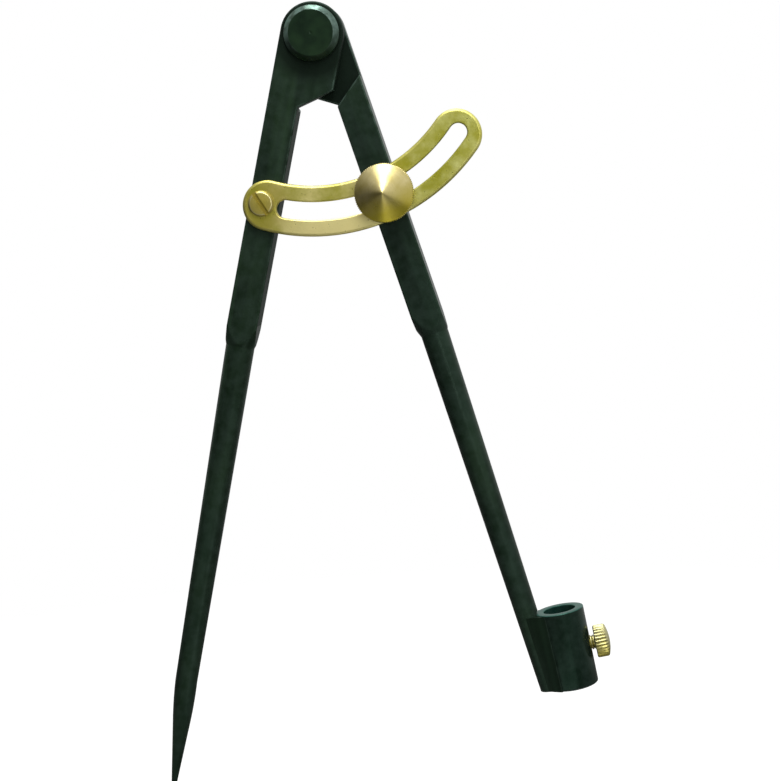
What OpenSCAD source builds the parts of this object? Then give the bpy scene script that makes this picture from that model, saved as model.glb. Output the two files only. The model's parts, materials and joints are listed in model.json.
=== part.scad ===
// Wing compass with a pencil socket: two steel legs on a riveted half-lap hinge, a brass wing with a
// clamp nut that holds the opening, and a tube that grips a pencil with a thumbscrew.
// The hinge axis is Y through the origin, +Z is up along the middle of the open legs, and -Y is the
// front, where the wing lies.

/* [Opening] */
// Angle between the legs as drawn, in degrees
opening = 30.2; // [4:0.1:60]
// Widest angle that the wing's slot allows
opening_max = 60.8; // [60:0.1:75]

/* [Square bars] */
// Side of the square bar that each leg is made of
bar = 8; // [7:0.1:10]
// Distance from the hinge line to each bar's inner face
bar_gap = 0.08; // [0.05:0.01:0.3]
// Chamfer along the bar's edges
bar_edge = 0.35; // [0.1:0.05:0.8]
// Distance from the hinge down to where the leg is round
bar_len = 82.5; // [75:0.5:100]
// Length of the cone that turns the square bar round
collar_len = 6.2; // [4:0.1:9]

/* [Half lap] */
// Slant of the lap's edges from square across the bar
lap_slant = 35.5; // [25:0.5:42]
// Distance from the hinge axis to the edge of each lap plate
lap_drop = 15.4; // [13:0.1:18]
// Room between a plate's edge and the other leg's shoulder when closed
lap_gap = 0.5; // [0.3:0.1:1]
// Gap between the two lap plates
plate_gap = 0.06; // [0.04:0.01:0.2]

/* [Point leg] */
// Diameter where the point leg turns round
point_leg_d = 7.55; // [6.5:0.05:7.8]
// Diameter where its point begins
point_root_d = 5.9; // [5:0.1:6.4]
// Lean of the round part towards the other leg
point_leg_lean = 1.2; // [0.8:0.05:1.3]
// Distance from the hinge down to where the point begins
point_start = 173.8; // [160:0.5:185]
// Length of the point
point_len = 35; // [28:0.5:42]
// Length of the point's rounded shoulder
point_shoulder = 11; // [6:0.5:16]
// Radius of the blunted tip
tip_r = 0.12; // [0.08:0.01:0.3]
// Swell where the point's shoulder blends into the leg
point_blend = 0.02; // [0.01:0.01:0.05]

/* [Pencil leg] */
// Diameter where the pencil leg turns round
pencil_leg_d = 7.2; // [6.5:0.05:7.8]
// Diameter at its lower end
pencil_leg_end_d = 5.6; // [5:0.1:6.4]
// Lean of the round part towards the other leg
pencil_leg_lean = 0.95; // [0.7:0.05:1.2]
// Offset of the round part from the middle of the bar, away from the other leg
pencil_leg_offset = 0.25; // [0:0.05:0.3]

/* [Pencil tube] */
// Outside diameter of the tube
socket_d = 12.7; // [12:0.1:14]
// Bore for the pencil
pencil_bore = 8.4; // [7.5:0.1:9]
// Length of the tube
socket_len = 20.6; // [17:0.1:26]
// Distance from the hinge down to the middle of the tube
socket_drop = 172; // [160:0.5:180]
// Lean of the tube from the pencil leg's bar
socket_lean = 7.2; // [5:0.1:9]
// Depth that the tube is let into the leg at mid height
socket_sink = 1.9; // [1.4:0.1:2.2]
// Chamfer on the tube's outer rims
socket_edge = 0.4; // [0.2:0.05:0.8]
// Braze film between the tube and the coped leg
braze_film = 0.03; // [0.02:0.01:0.08]

/* [Hinge] */
// Diameter of the rivet's shank
hinge_pin_d = 6; // [4:0.1:7]
// Diameter of the rivet's head
rivet_head_d = 14.2; // [12:0.1:15.5]
// Diameter of the flat on the rivet's head
rivet_flat_d = 11.8; // [9:0.1:11.9]
// Height of the rivet's head
rivet_head_h = 2.6; // [2:0.1:4]
// Height of the straight edge below the head's chamfer
rivet_edge_h = 1; // [0.5:0.1:1.5]
// Diameter of the burr behind the hinge
burr_d = 13; // [11:0.1:15]
// Thickness of the burr
burr_t = 1.4; // [1:0.1:2]
// Diameter of the rivet's spread tail
tail_d = 8.6; // [8:0.1:10]
// Height of the tail over the burr
tail_h = 1.1; // [0.8:0.1:2]

/* [Wing] */
// Radius of the middle of the wing about the hinge
wing_r = 45; // [40:0.5:60]
// Width of the wing
wing_w = 13; // [12:0.1:15]
// Thickness of the wing
wing_t = 2; // [1.5:0.1:3]
// Chamfer round the wing's edges
wing_edge = 0.4; // [0.1:0.05:0.6]
// Offset of the wing's screw and stud from the middle of the bars, away from the other leg
hole_offset = 0.5; // [0:0.1:0.8]
// Length of wing from its screw to the centre of its rounded tail
wing_tail = 1.7; // [1:0.1:2.5]
// Wall past the slot's far end
wing_end_wall = 3.5; // [3:0.1:6]
// Spare slot past the stud when the legs are closed
slot_spare = 2.8; // [1:0.1:3.2]
// Spare slot past the stud at the widest opening
slot_stop = 0.4; // [0.2:0.1:2]
// Step in width, each side, where the wing's band and slot meet their rounded ends
end_step = 0.04; // [0.03:0.01:0.08]

/* [Wing screw] */
// Thread diameter of the wing's screw
screw_d = 4; // [3:0.1:4.5]
// Diameter of its head
screw_head_d = 6.6; // [6:0.1:7.4]
// Height of its head
screw_head_h = 1.1; // [0.8:0.1:2]
// Width of the screwdriver slot
screw_slot_w = 1.1; // [0.8:0.1:1.4]
// Depth of the screwdriver slot
screw_slot_h = 0.6; // [0.3:0.1:0.75]
// Turn of the screwdriver slot from square across the leg
screw_slot_turn = -45; // [-90:1:90]
// Length of thread in the leg
screw_reach = 6; // [4:0.1:6.5]

/* [Clamp] */
// Thread diameter of the stud
stud_d = 3.6; // [3:0.1:4.5]
// Offset of the stud from the middle of the slot, towards the hinge
stud_set = 0.45; // [0:0.05:0.45]
// Diameter of the nut
nut_d = 15.2; // [13.5:0.1:17]
// Height of the nut's knurled rim
nut_rim_h = 2.4; // [1.6:0.1:4]
// Height of the nut's cone
nut_cone_h = 5.4; // [4:0.1:8]
// Radius of the cone's blunt apex
nut_apex_r = 0.3; // [0.2:0.05:0.6]
// Wall left round the end of the nut's blind thread
nut_wall = 1.6; // [1:0.1:2]
// Diameter of the washer under the nut
clamp_washer_d = 9.6; // [8.5:0.1:11]
// Height of the washer over the head of the wing's screw
clamp_washer_lift = 0.4; // [0.2:0.1:1]

/* [Thumbscrew] */
// Thread diameter of the thumbscrew
thumb_thread_d = 3.9; // [3:0.1:5]
// Diameter over the ridges of its head
thumb_d = 8.5; // [7.5:0.1:10]
// Number of ridges
thumb_ridges = 28; // [20:1:36]
// Depth of the grooves between the ridges
thumb_groove = 0.3; // [0.15:0.05:0.4]
// Length of the ridged part
thumb_len = 3.1; // [2.5:0.1:5]
// Height of the head's domed end
thumb_dome = 0.8; // [0.4:0.1:1.2]
// Length of stem that shows between the tube and the head
thumb_neck = 1.15; // [1.1:0.05:2]
// Step from the thread down to the spigot that carries the head
thumb_step = 0.45; // [0.3:0.05:0.6]
// Distance of the screw's tip from the pencil bore
thumb_tip_room = 0.15; // [0.1:0.05:0.4]

/* [Clearances] */
// Radial gap of the hinge on its rivet
hinge_gap = 0.05; // [0.03:0.01:0.1]
// Radial gap in every threaded or spigot joint
thread_gap = 0.05; // [0.03:0.01:0.1]
// Gap of the stud in the wing's slot, each side of a central stud
slot_gap = 0.5; // [0.5:0.05:0.7]
// Gap between flat faces that slide on each other
slide_gap = 0.06; // [0.04:0.01:0.15]

/* [Hidden] */
$fn = 96;
steel = "#1f2a20";
brass = "#b9ae5c";

half_bar = bar / 2;
bar_mid = bar_gap + half_bar;
head_r = bar_gap + bar;
hinge_bore_r = hinge_pin_d / 2 + hinge_gap;

// Heights of the lap's slanted edges at the bar's inner face, the bar's outer face and the plate's far side
shoulder_drop = lap_drop + lap_gap;
function plate_edge_z(x) = -(lap_drop + x * sin(lap_slant)) / cos(lap_slant);
function shoulder_z(x) = -(shoulder_drop - x * sin(lap_slant)) / cos(lap_slant);

// Radius that clears the bar's corners about a leg's round axis, where the turned collar starts
bar_corner_r = norm([half_bar + pencil_leg_offset, half_bar]);

// Length that the round part of a leg reaches up inside the bar
round_root = collar_len / 4;

// Length along the round part of a leg, from the bar to a drop below the hinge
function round_len(drop, lean) = (drop - bar_len) / cos(lean);

// Outward place of a leg's round axis at a drop below the hinge
function axis_x(drop, lean, offset) = bar_mid + offset - (drop - bar_len) * tan(lean);

// The point leans so that its tip lies on the hinge line
point_root_x = axis_x(point_start, point_leg_lean, 0);
point_lean = asin(point_root_x / point_len);
point_slope = (point_root_d / 2 - tip_r) / (point_len - point_shoulder / 2);
function point_r(s) = s < point_shoulder
    ? point_root_d / 2 - point_slope * s * s / (2 * point_shoulder)
    : point_root_d / 2 - point_slope * (s - point_shoulder / 2);
shoulder_steps = 6;

// The tube's middle, from the leg's radius at that drop
socket_r = socket_d / 2;
bore_r = pencil_bore / 2;
leg_end_drop = socket_drop + socket_len / 2 + socket_edge;
pencil_round_len = round_len(leg_end_drop, pencil_leg_lean) + socket_r;
pencil_leg_taper = (pencil_leg_d - pencil_leg_end_d) / round_len(leg_end_drop, pencil_leg_lean);
socket_leg_r = (pencil_leg_d - pencil_leg_taper * round_len(socket_drop, pencil_leg_lean)) / 2;
socket_x = axis_x(socket_drop, pencil_leg_lean, pencil_leg_offset) + socket_leg_r + socket_r - socket_sink;

// The wing's screw lies on the wing's middle radius, and the stud a little nearer the hinge
hole_x = bar_mid + hole_offset;
hole_angle = asin(hole_x / wing_r);
hole_z = -wing_r * cos(hole_angle);
stud_r = wing_r - stud_set;
slot_r = stud_d / 2 + slot_gap;
arc_angle = 180 / (PI * wing_r);
slot_from = hole_angle - slot_spare * arc_angle;
slot_to = opening_max + hole_angle + slot_stop * arc_angle;
wing_end_r = wing_w / 2;
tail_at = -hole_angle + wing_tail * arc_angle;
end_at = slot_to + (slot_r + wing_end_wall - wing_end_r) * arc_angle;

// Angle by which a swept part stops short of its rounded end's centre, so that the end is the step narrower
function lead_angle(r) = sqrt(r * r - pow(r - end_step, 2)) * arc_angle;
band_lead = lead_angle(wing_end_r);
slot_lead = lead_angle(slot_r);

// Heights out of the front face of the bars
front = half_bar;
wing_front = front + wing_t;
screw_top = wing_front + screw_head_h;
washer_from = wing_front + slide_gap;
nut_from = screw_top + clamp_washer_lift;
washer_to = nut_from - slide_gap;
nut_r = nut_d / 2;
nut_bore_r = stud_d / 2 + thread_gap;
nut_bore_h = nut_rim_h + nut_cone_h * (1 - (nut_bore_r + nut_wall) / nut_r);
stud_to = nut_from + nut_bore_h - slide_gap;

// Heights behind the hinge
burr_from = half_bar + slide_gap;
tail_from = burr_from + burr_t;

// Places along the thumbscrew's axis, from the tube's axis
thumb_r = thumb_d / 2;
thumb_thread_r = thumb_thread_d / 2;
thumb_tip = bore_r + thumb_tip_room;
thumb_head_from = socket_r + thumb_neck;
thumb_spigot_r = thumb_thread_r - thumb_step;
thumb_spigot_h = thumb_len - thumb_step;
thumb_dome_r = (thumb_r * thumb_r + thumb_dome * thumb_dome) / (2 * thumb_dome);

// Overlap of cutting shapes past the faces that they cut
past = 1;

// Places children on a leg: x runs out from the hinge line to the leg's own side, -z down the leg
module on_pencil_leg() {
    rotate([0, -opening / 2, 0]) children();
}

module on_point_leg() {
    rotate([0, opening / 2, 0]) mirror([1, 0, 0]) children();
}

// Turns children to face the front: x stays, y becomes height and z comes out of the front
module facing_front() {
    rotate([90, 0, 0]) children();
}

// Front of the point leg, with x towards the pencil leg, where the wing and its screw are fixed
module on_wing() {
    rotate([0, opening / 2, 0]) facing_front() children();
}

// Stud's place on the pencil leg, facing the front
module at_stud() {
    on_pencil_leg() translate([stud_r * sin(hole_angle), 0, -stud_r * cos(hole_angle)])
        facing_front() children();
}

// Middle of the pencil tube, with z along the tube and x out of it towards the thumbscrew
module at_socket() {
    on_pencil_leg() translate([socket_x, 0, -socket_drop]) rotate([0, socket_lean, 0]) children();
}

// Thumbscrew's axis as z, out from the tube's axis
module at_thumbscrew() {
    at_socket() rotate([0, 90, 0]) children();
}

// Extrudes an outline of x and height between two depths
module slab(from, to) {
    translate([0, to, 0]) facing_front() linear_extrude(to - from) children();
}

// Rectangle with all four corners cut off
function cut_corners(x0, x1, y0, y1, e) = [
    [x0 + e, y0], [x1 - e, y0], [x1, y0 + e], [x1, y1 - e],
    [x1 - e, y1], [x0 + e, y1], [x0, y1 - e], [x0, y0 + e]
];

// Half-thickness plate round the hinge, rounded at the top and slanted where it meets the other leg
module lap_plate(from, to) {
    slab(from, to) {
        circle(head_r);
        polygon([
            [-head_r, 0], [-head_r, plate_edge_z(-head_r)], [bar_gap, plate_edge_z(bar_gap)],
            [bar_gap, shoulder_z(bar_gap)], [head_r, shoulder_z(bar_gap)], [head_r, 0]
        ]);
    }
}

// Square bar from the slanted shoulder down to the collar
module square_bar(from, to) {
    difference() {
        translate([0, 0, -bar_len])
            linear_extrude(bar_len)
                polygon(cut_corners(bar_gap, head_r, from, to, bar_edge));
        slab(from - past, to + past)
            polygon([
                [bar_gap - past, shoulder_z(bar_gap - past)],
                [head_r + past, shoulder_z(head_r + past)],
                [head_r + past, past], [bar_gap - past, past]
            ]);
    }
}

// Body turned about the round axis that the bar's lower end is cut to
module collar_cone(round_r) {
    rotate_extrude()
        polygon([
            [0, 0], [round_r, 0], [bar_corner_r, collar_len], [2 * bar, collar_len],
            [2 * bar, 2 * bar_len], [0, 2 * bar_len]
        ]);
}

// Places children at the top of a leg's round part, with -z along its axis
module at_round(lean, offset) {
    translate([bar_mid + offset, 0, -bar_len]) rotate([0, lean, 0]) children();
}

// One leg down to the end of its round part: the bar, its collar and the tapered round
module leg_blank(bar_front, plate_from, plate_to, lean, offset, top_d, end_d, len) {
    root_d = top_d + (top_d - end_d) * round_root / len;
    lap_plate(plate_from, plate_to);
    intersection() {
        square_bar(bar_front, half_bar);
        at_round(lean, offset) collar_cone(top_d / 2);
    }
    at_round(lean, offset)
        translate([0, 0, -len]) cylinder(h = len + round_root, d1 = end_d, d2 = root_d);
}

// Cutter for the rivet's hole through a lap plate
module hinge_bore() {
    facing_front() cylinder(h = 2 * bar, r = hinge_bore_r, center = true);
}

module point_leg() {
    color(steel) on_point_leg() difference() {
        union() {
            leg_blank(
                -half_bar, -half_bar, -plate_gap / 2, point_leg_lean, 0, point_leg_d, point_root_d,
                round_len(point_start, point_leg_lean)
            );
            point();
        }
        hinge_bore();
        translate([hole_x, 0, hole_z]) facing_front()
            translate([0, 0, front - screw_reach - slide_gap])
                cylinder(h = screw_reach + past, d = screw_d + 2 * thread_gap);
    }
}

// Ground point, with a rounded shoulder and then a straight cone, and the knuckle that joins it to the leg
module point() {
    translate([point_root_x, 0, -point_start]) {
        sphere(point_root_d / 2 + point_blend);
        rotate([0, point_lean, 0]) mirror([0, 0, 1]) rotate_extrude()
            polygon(concat(
                [[0, 0]],
                [for (i = [0:shoulder_steps]) let (s = point_shoulder * i / shoulder_steps) [point_r(s), s]],
                [[tip_r, point_len], [0, point_len]]
            ));
    }
}

module pencil_leg() {
    color(steel) difference() {
        on_pencil_leg()
            leg_blank(
                slide_gap - half_bar, plate_gap / 2, half_bar, pencil_leg_lean, pencil_leg_offset,
                pencil_leg_d, pencil_leg_d - pencil_leg_taper * pencil_round_len, pencil_round_len
            );
        on_pencil_leg() hinge_bore();
        at_stud() cylinder(h = 2 * bar, d = stud_d + 2 * thread_gap, center = true);
        at_socket() cylinder(h = 2 * socket_len, r = socket_r + braze_film, center = true);
        at_socket() translate([-socket_d, -socket_d, -socket_len / 2 - 2 * socket_d])
            cube(2 * socket_d);
    }
}

module pencil_socket() {
    color(steel) at_socket() difference() {
        rotate_extrude()
            polygon([
                [0, -socket_len / 2], [socket_r - socket_edge, -socket_len / 2],
                [socket_r, socket_edge - socket_len / 2], [socket_r, socket_len / 2 - socket_edge],
                [socket_r - socket_edge, socket_len / 2], [0, socket_len / 2]
            ]);
        cylinder(h = socket_len + 2 * past, r = bore_r, center = true);
        rotate([0, 90, 0]) cylinder(h = socket_d, r = thumb_thread_r + thread_gap);
    }
}

module hinge_rivet() {
    color(steel) facing_front() rotate_extrude()
        polygon([
            [0, -tail_from - tail_h], [hinge_pin_d / 2, -tail_from - tail_h],
            [tail_d / 2, -tail_from - tail_h / 2], [tail_d / 2, -tail_from],
            [hinge_pin_d / 2, -tail_from], [hinge_pin_d / 2, front], [rivet_head_d / 2, front],
            [rivet_head_d / 2, front + rivet_edge_h], [rivet_flat_d / 2, front + rivet_head_h],
            [0, front + rivet_head_h]
        ]);
}

module hinge_washer() {
    color(steel) facing_front() rotate_extrude()
        polygon([
            [hinge_bore_r, -burr_from], [hinge_bore_r, -tail_from],
            [burr_d / 2 - burr_t / 2, -tail_from], [burr_d / 2, -tail_from + burr_t / 2],
            [burr_d / 2, -burr_from]
        ]);
}

// Sweeps a section about the hinge between two angles from straight down the point leg
module wing_sweep(from, to) {
    rotate(from - 90) rotate_extrude(angle = to - from) children();
}

// Place on the wing's middle radius, with x away from the hinge and y along the wing
module on_wing_arc(angle) {
    rotate(angle - 90) translate([wing_r, 0, 0]) children();
}

// Disc that rounds an end of the wing
module wing_end(angle) {
    on_wing_arc(angle) rotate_extrude()
        polygon([
            [0, front], [wing_end_r - wing_edge, front], [wing_end_r, front + wing_edge],
            [wing_end_r, wing_front - wing_edge], [wing_end_r - wing_edge, wing_front], [0, wing_front]
        ]);
}

// Wall of the slot's cutter with its flared rims, from the back of the wing to its front
slot_wall = [
    [slot_r + wing_edge + past, front - past], [slot_r, front + wing_edge],
    [slot_r, wing_front - wing_edge], [slot_r + wing_edge + past, wing_front + past]
];

// Cutter for the slot's length
module slot_length() {
    wing_sweep(slot_from + slot_lead, slot_to - slot_lead)
        polygon(concat(
            [for (p = slot_wall) [wing_r + p[0], p[1]]],
            [for (i = [len(slot_wall) - 1:-1:0]) [wing_r - slot_wall[i][0], slot_wall[i][1]]]
        ));
}

// Cutter for a rounded end of the slot
module slot_end(angle) {
    on_wing_arc(angle) rotate_extrude()
        polygon(concat([[0, front - past]], slot_wall, [[0, wing_front + past]]));
}

module wing() {
    color(brass) on_wing() difference() {
        union() {
            wing_sweep(tail_at + band_lead, end_at - band_lead)
                polygon(cut_corners(wing_r - wing_end_r, wing_r + wing_end_r, front, wing_front, wing_edge));
            wing_end(tail_at);
            wing_end(end_at);
        }
        slot_length();
        slot_end(slot_from);
        slot_end(slot_to);
        on_wing_arc(-hole_angle)
            translate([0, 0, front - past]) cylinder(h = wing_t + 2 * past, d = screw_d + 2 * thread_gap);
    }
}

module wing_screw() {
    color(brass) on_wing() translate([-hole_x, hole_z, 0]) difference() {
        rotate_extrude()
            polygon([
                [0, front - screw_reach], [screw_d / 2, front - screw_reach], [screw_d / 2, wing_front],
                [screw_head_d / 2, wing_front], [screw_head_d / 2, wing_front + screw_head_h / 2],
                [screw_head_d / 2 - screw_head_h / 2, screw_top], [0, screw_top]
            ]);
        rotate(screw_slot_turn)
            translate([-screw_head_d, -screw_slot_w / 2, screw_top - screw_slot_h])
                cube([2 * screw_head_d, screw_slot_w, screw_head_h]);
    }
}

module clamp_stud() {
    color(brass) at_stud()
        translate([0, 0, -half_bar]) cylinder(h = stud_to + half_bar, d = stud_d);
}

module clamp_washer() {
    color(brass) at_stud() difference() {
        translate([0, 0, washer_from]) cylinder(h = washer_to - washer_from, d = clamp_washer_d);
        cylinder(h = 2 * nut_from, r = nut_bore_r);
    }
}

module clamp_nut() {
    color(brass) at_stud() rotate_extrude()
        polygon([
            [nut_bore_r, nut_from], [nut_r, nut_from], [nut_r, nut_from + nut_rim_h],
            [nut_apex_r, nut_from + nut_rim_h + nut_cone_h], [0, nut_from + nut_rim_h + nut_cone_h],
            [0, nut_from + nut_bore_h], [nut_bore_r, nut_from + nut_bore_h]
        ]);
}

module pencil_screw_stem() {
    color(brass) at_thumbscrew() {
        translate([0, 0, thumb_tip])
            cylinder(h = thumb_head_from - slide_gap - thumb_tip, r = thumb_thread_r);
        translate([0, 0, thumb_head_from - thumb_step])
            cylinder(h = thumb_spigot_h + thumb_step - slide_gap, r = thumb_spigot_r);
    }
}

module pencil_screw_head() {
    color(brass) at_thumbscrew() translate([0, 0, thumb_head_from]) difference() {
        intersection() {
            linear_extrude(thumb_len + thumb_dome)
                polygon([
                    for (i = [0:2 * thumb_ridges - 1])
                        let (r = thumb_r - (i % 2) * thumb_groove, a = i * 180 / thumb_ridges)
                        [r * cos(a), r * sin(a)]
                ]);
            translate([0, 0, thumb_len + thumb_dome - thumb_dome_r]) sphere(thumb_dome_r);
        }
        translate([0, 0, -past]) cylinder(h = thumb_spigot_h + past, r = thumb_spigot_r + thread_gap);
    }
}

point_leg();
pencil_leg();
pencil_socket();
hinge_rivet();
hinge_washer();
wing();
wing_screw();
clamp_stud();
clamp_washer();
clamp_nut();
pencil_screw_stem();
pencil_screw_head();
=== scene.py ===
# %% [markdown]
# # Dressing a wing compass
#
# A wing compass is two steel legs on a rivet, with a slotted brass wing that
# holds them open. One leg ends in a point and the other in a tube for a pencil.
# The measured parts already have every joint and size, and they could be
# rendered as they are. But their edges are sharp and their metal is plain, so
# each piece that shows is drawn again to the same sizes, with its rounded edges,
# its knurl and the finish of its metal.

import json
import math

import bmesh
import bpy
from mathutils import Matrix, Vector
from mathutils.geometry import interpolate_bezier


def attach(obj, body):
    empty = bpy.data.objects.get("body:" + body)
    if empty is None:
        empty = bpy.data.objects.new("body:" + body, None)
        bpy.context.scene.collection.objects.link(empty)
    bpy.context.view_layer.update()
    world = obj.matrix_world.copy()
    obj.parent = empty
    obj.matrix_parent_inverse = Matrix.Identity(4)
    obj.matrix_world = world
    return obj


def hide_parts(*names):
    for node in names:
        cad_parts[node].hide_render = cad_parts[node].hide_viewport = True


MM = 0.001
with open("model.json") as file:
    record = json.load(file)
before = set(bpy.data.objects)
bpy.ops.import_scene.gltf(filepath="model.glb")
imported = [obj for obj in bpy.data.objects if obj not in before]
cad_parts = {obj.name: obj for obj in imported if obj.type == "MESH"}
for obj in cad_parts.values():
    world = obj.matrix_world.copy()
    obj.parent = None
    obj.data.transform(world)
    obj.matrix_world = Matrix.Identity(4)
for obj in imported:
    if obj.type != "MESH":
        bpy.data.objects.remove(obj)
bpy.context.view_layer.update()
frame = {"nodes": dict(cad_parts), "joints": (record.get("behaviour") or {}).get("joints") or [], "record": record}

# %% [markdown]
# ## Working from the hinge
#
# All sizes below are in millimetres from the middle of the hinge. A leg could be
# drawn where it stands, but its edges would then be hard to pick out, because
# they all slant. So each leg is drawn hanging straight down, and is then swung
# out by half of the opening. The point leg is the mirror of the pencil leg, so
# it is drawn the same way and mirrored. Things that were turned in a lathe are
# drawn standing up and then laid over to face the front. The tube's place comes
# from the measured parts.

# %% Places on the compass
BAR, BAR_GAP = 8.0, 0.08
BAR_IN, BAR_MID, BAR_OUT = BAR_GAP, BAR_GAP + BAR / 2, BAR_GAP + BAR
FRONT = BAR / 2
HALF_OPEN, TUBE_LEAN, QUARTER = math.radians(15.1), math.radians(7.2), math.radians(90)
swing_point = Matrix.Rotation(HALF_OPEN, 4, "Y")
swing_pencil = Matrix.Rotation(-HALF_OPEN, 4, "Y")
point_side = swing_point @ Matrix.Scale(-1, 4, (1, 0, 0))
face_front = Matrix.Rotation(QUARTER, 4, "X")
mounts = {mount["name"]: Vector(mount["pos_m"]) / MM for mount in frame["record"]["mounts"]}
swing_tube = Matrix.Rotation(TUBE_LEAN - HALF_OPEN, 4, "Y")
tube_place = Matrix.Translation(mounts["pencil_bore"]) @ swing_tube
print("tube's middle in mm:", [round(c, 2) for c in tube_place.translation])

# %% [markdown]
# ## Shader sums in plain arithmetic
#
# A finish is a sum of small patterns. In the shader editor each step of that sum
# is a box with wires, and a script that makes the boxes one by one is hard to
# follow. Wrapping a socket lets the sums be written as they would be on paper,
# so `1 - mask` makes the node that takes a mask from one. Every other node comes
# from `add`. Colours are written as they are read off a picture, and `tint`
# turns them into the light values that shaders mix.


# %% A socket that can be added, scaled and compared
def tint(code):
    """A colour read off a picture, as the light values that shaders mix."""
    parts = [int(code[i : i + 2], 16) / 255 for i in (0, 2, 4)]
    return tuple(c / 12.92 if c <= 0.04045 else ((c + 0.055) / 1.055) ** 2.4 for c in parts) + (1.0,)


class Wire:
    """One socket of a node tree, on which sums can be written."""

    def __init__(self, tree, socket=None):
        self.tree = tree
        self.socket = socket

    def add(self, kind, settings=None, inputs=None, out=0):
        """Adds a node, with its settings first and then the values or wires of its sockets."""
        node = self.tree.nodes.new(kind)
        for name, value in (settings or {}).items():
            setattr(node, name, value)
        for name, value in (inputs or {}).items():
            if isinstance(value, Wire):
                self.tree.links.new(value.socket, node.inputs[name])
            else:
                node.inputs[name].default_value = value
        return Wire(self.tree, node.outputs[out])

    def sum(self, operation, *values):
        """Works out one step of arithmetic on patterns and numbers."""
        return self.add("ShaderNodeMath", {"operation": operation}, dict(enumerate(values)))

    def __add__(self, other):
        return self.sum("ADD", self, other)

    def __radd__(self, other):
        return self.sum("ADD", other, self)

    def __sub__(self, other):
        return self.sum("SUBTRACT", self, other)

    def __rsub__(self, other):
        return self.sum("SUBTRACT", other, self)

    def __mul__(self, other):
        return self.sum("MULTIPLY", self, other)

    def __rmul__(self, other):
        return self.sum("MULTIPLY", other, self)

    def most(self, other):
        """The greater of two patterns."""
        return self.sum("MAXIMUM", self, other)

    def fit(self, low, high):
        """Stretches the part of a pattern between two values to run from 0 to 1."""
        return self.add("ShaderNodeMapRange", {}, {"Value": self, "From Min": low, "From Max": high})

    def fit_mm(self, low, high):
        """The same for a length, between two values in millimetres."""
        return self.fit(low * MM, high * MM)

    def blend(self, first, second):
        """Mixes two colours, with this pattern as the share of the second."""
        first, second = [c if isinstance(c, Wire) else tint(c) for c in (first, second)]
        return self.add("ShaderNodeMix", {"data_type": "RGBA"}, {0: self, 6: first, 7: second}, 2)


print("the colour 1f2a20 in light values:", [round(c, 4) for c in tint("1f2a20")])

# %% [markdown]
# ## Starting a finish
#
# Every finish here is one shader with patterns fed into it. The patterns could
# be painted images, but noise needs no files and never repeats. It is read at
# the place on the piece itself, in metres, so that it stays put when a leg
# swings. Distances from a spot tell the finish where hands, dirt and the lathe
# tool have been, and marks left on the mesh tell it where edges have worn.


# %% Helpers for finishes
def new_finish(name, **constants):
    """A material with its constant values set, its shader, and the place on the piece as a wire."""
    material = bpy.data.materials.new(name)
    material.use_nodes = True
    shader = material.node_tree.nodes["Principled BSDF"]
    for socket, value in constants.items():
        shader.inputs[socket.replace("_", " ")].default_value = value
    return material, shader, Wire(material.node_tree).add("ShaderNodeTexCoord", out="Object")


def join(shader, **wires):
    """Links finished patterns to the shader's sockets."""
    for socket, wire in wires.items():
        wire.tree.links.new(wire.socket, shader.inputs[socket.replace("_", " ")])


def noise(place, scale, detail=2.0):
    """Clouds of a given number to the metre."""
    return place.add("ShaderNodeTexNoise", {}, {"Vector": place, "Scale": scale, "Detail": detail})


def squeezed(place, scale):
    """A place with each of its directions scaled, to draw a pattern out or to leave one out."""
    return place.add("ShaderNodeMapping", {}, {"Vector": place, "Scale": scale})


def along(place, axis):
    """One of a place's three coordinates."""
    return place.add("ShaderNodeSeparateXYZ", {}, {0: place}, axis)


def distance(place, spot=(0, 0, 0)):
    """How far a place is from a spot that is given in millimetres."""
    ends = {0: place, 1: Vector(spot) * MM}
    return place.add("ShaderNodeVectorMath", {"operation": "DISTANCE"}, ends, "Value")


def marked(place, mark):
    """What the mesh itself says about a place, such as how worn it is."""
    return place.add("ShaderNodeAttribute", {"attribute_name": mark}, out="Fac")


def relief(height, depth):
    """Turns a pattern into fine relief of a depth in millimetres."""
    return height.add("ShaderNodeBump", {}, {"Height": height, "Distance": depth * MM, "Strength": 1.0})


LEG_CLOUDS = 70
print("a cloud on the legs is about", round(1 / LEG_CLOUDS / MM), "mm across")

# %% [markdown]
# ## Blackened steel
#
# The legs are steel that was blackened in hot salts, which leaves a thin dark
# oxide with a green cast. The oxide is uneven, so two tones are clouded
# together, with patches of olive where oil has soaked in. The bars were drawn
# through a die before that, so faint lines run along them. Handling rubs the
# oxide off the corners first, and bare metal shows through there. The half lap
# and the flank that faces the other leg are rougher and painted near black as
# painted shade, and the tube's rim and bore are painted a lighter teal as a
# painted highlight. A painted shadow darkens the plate below the rivet. One
# function makes all five finishes, because they differ only in their tones and
# their shine.

# %% Finish: blackened steel
# PAINTED_SHADE_STEEL is painted shade: the near black put on the half lap, the inner flank and below the rivet.
BARE_STEEL, OIL, PAINTED_SHADE_STEEL = "748a82", "2a3f1f", "050a06"
# Where the painted shadow below the rivet is centred, and the distances from there, in mm, at which it starts and
# is full.
RIVET_SHADOW_MIDDLE, RIVET_SHADOW_EDGE, RIVET_SHADOW_FULL = (0, -FRONT, -2.2), 11.5, 8.2


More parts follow.
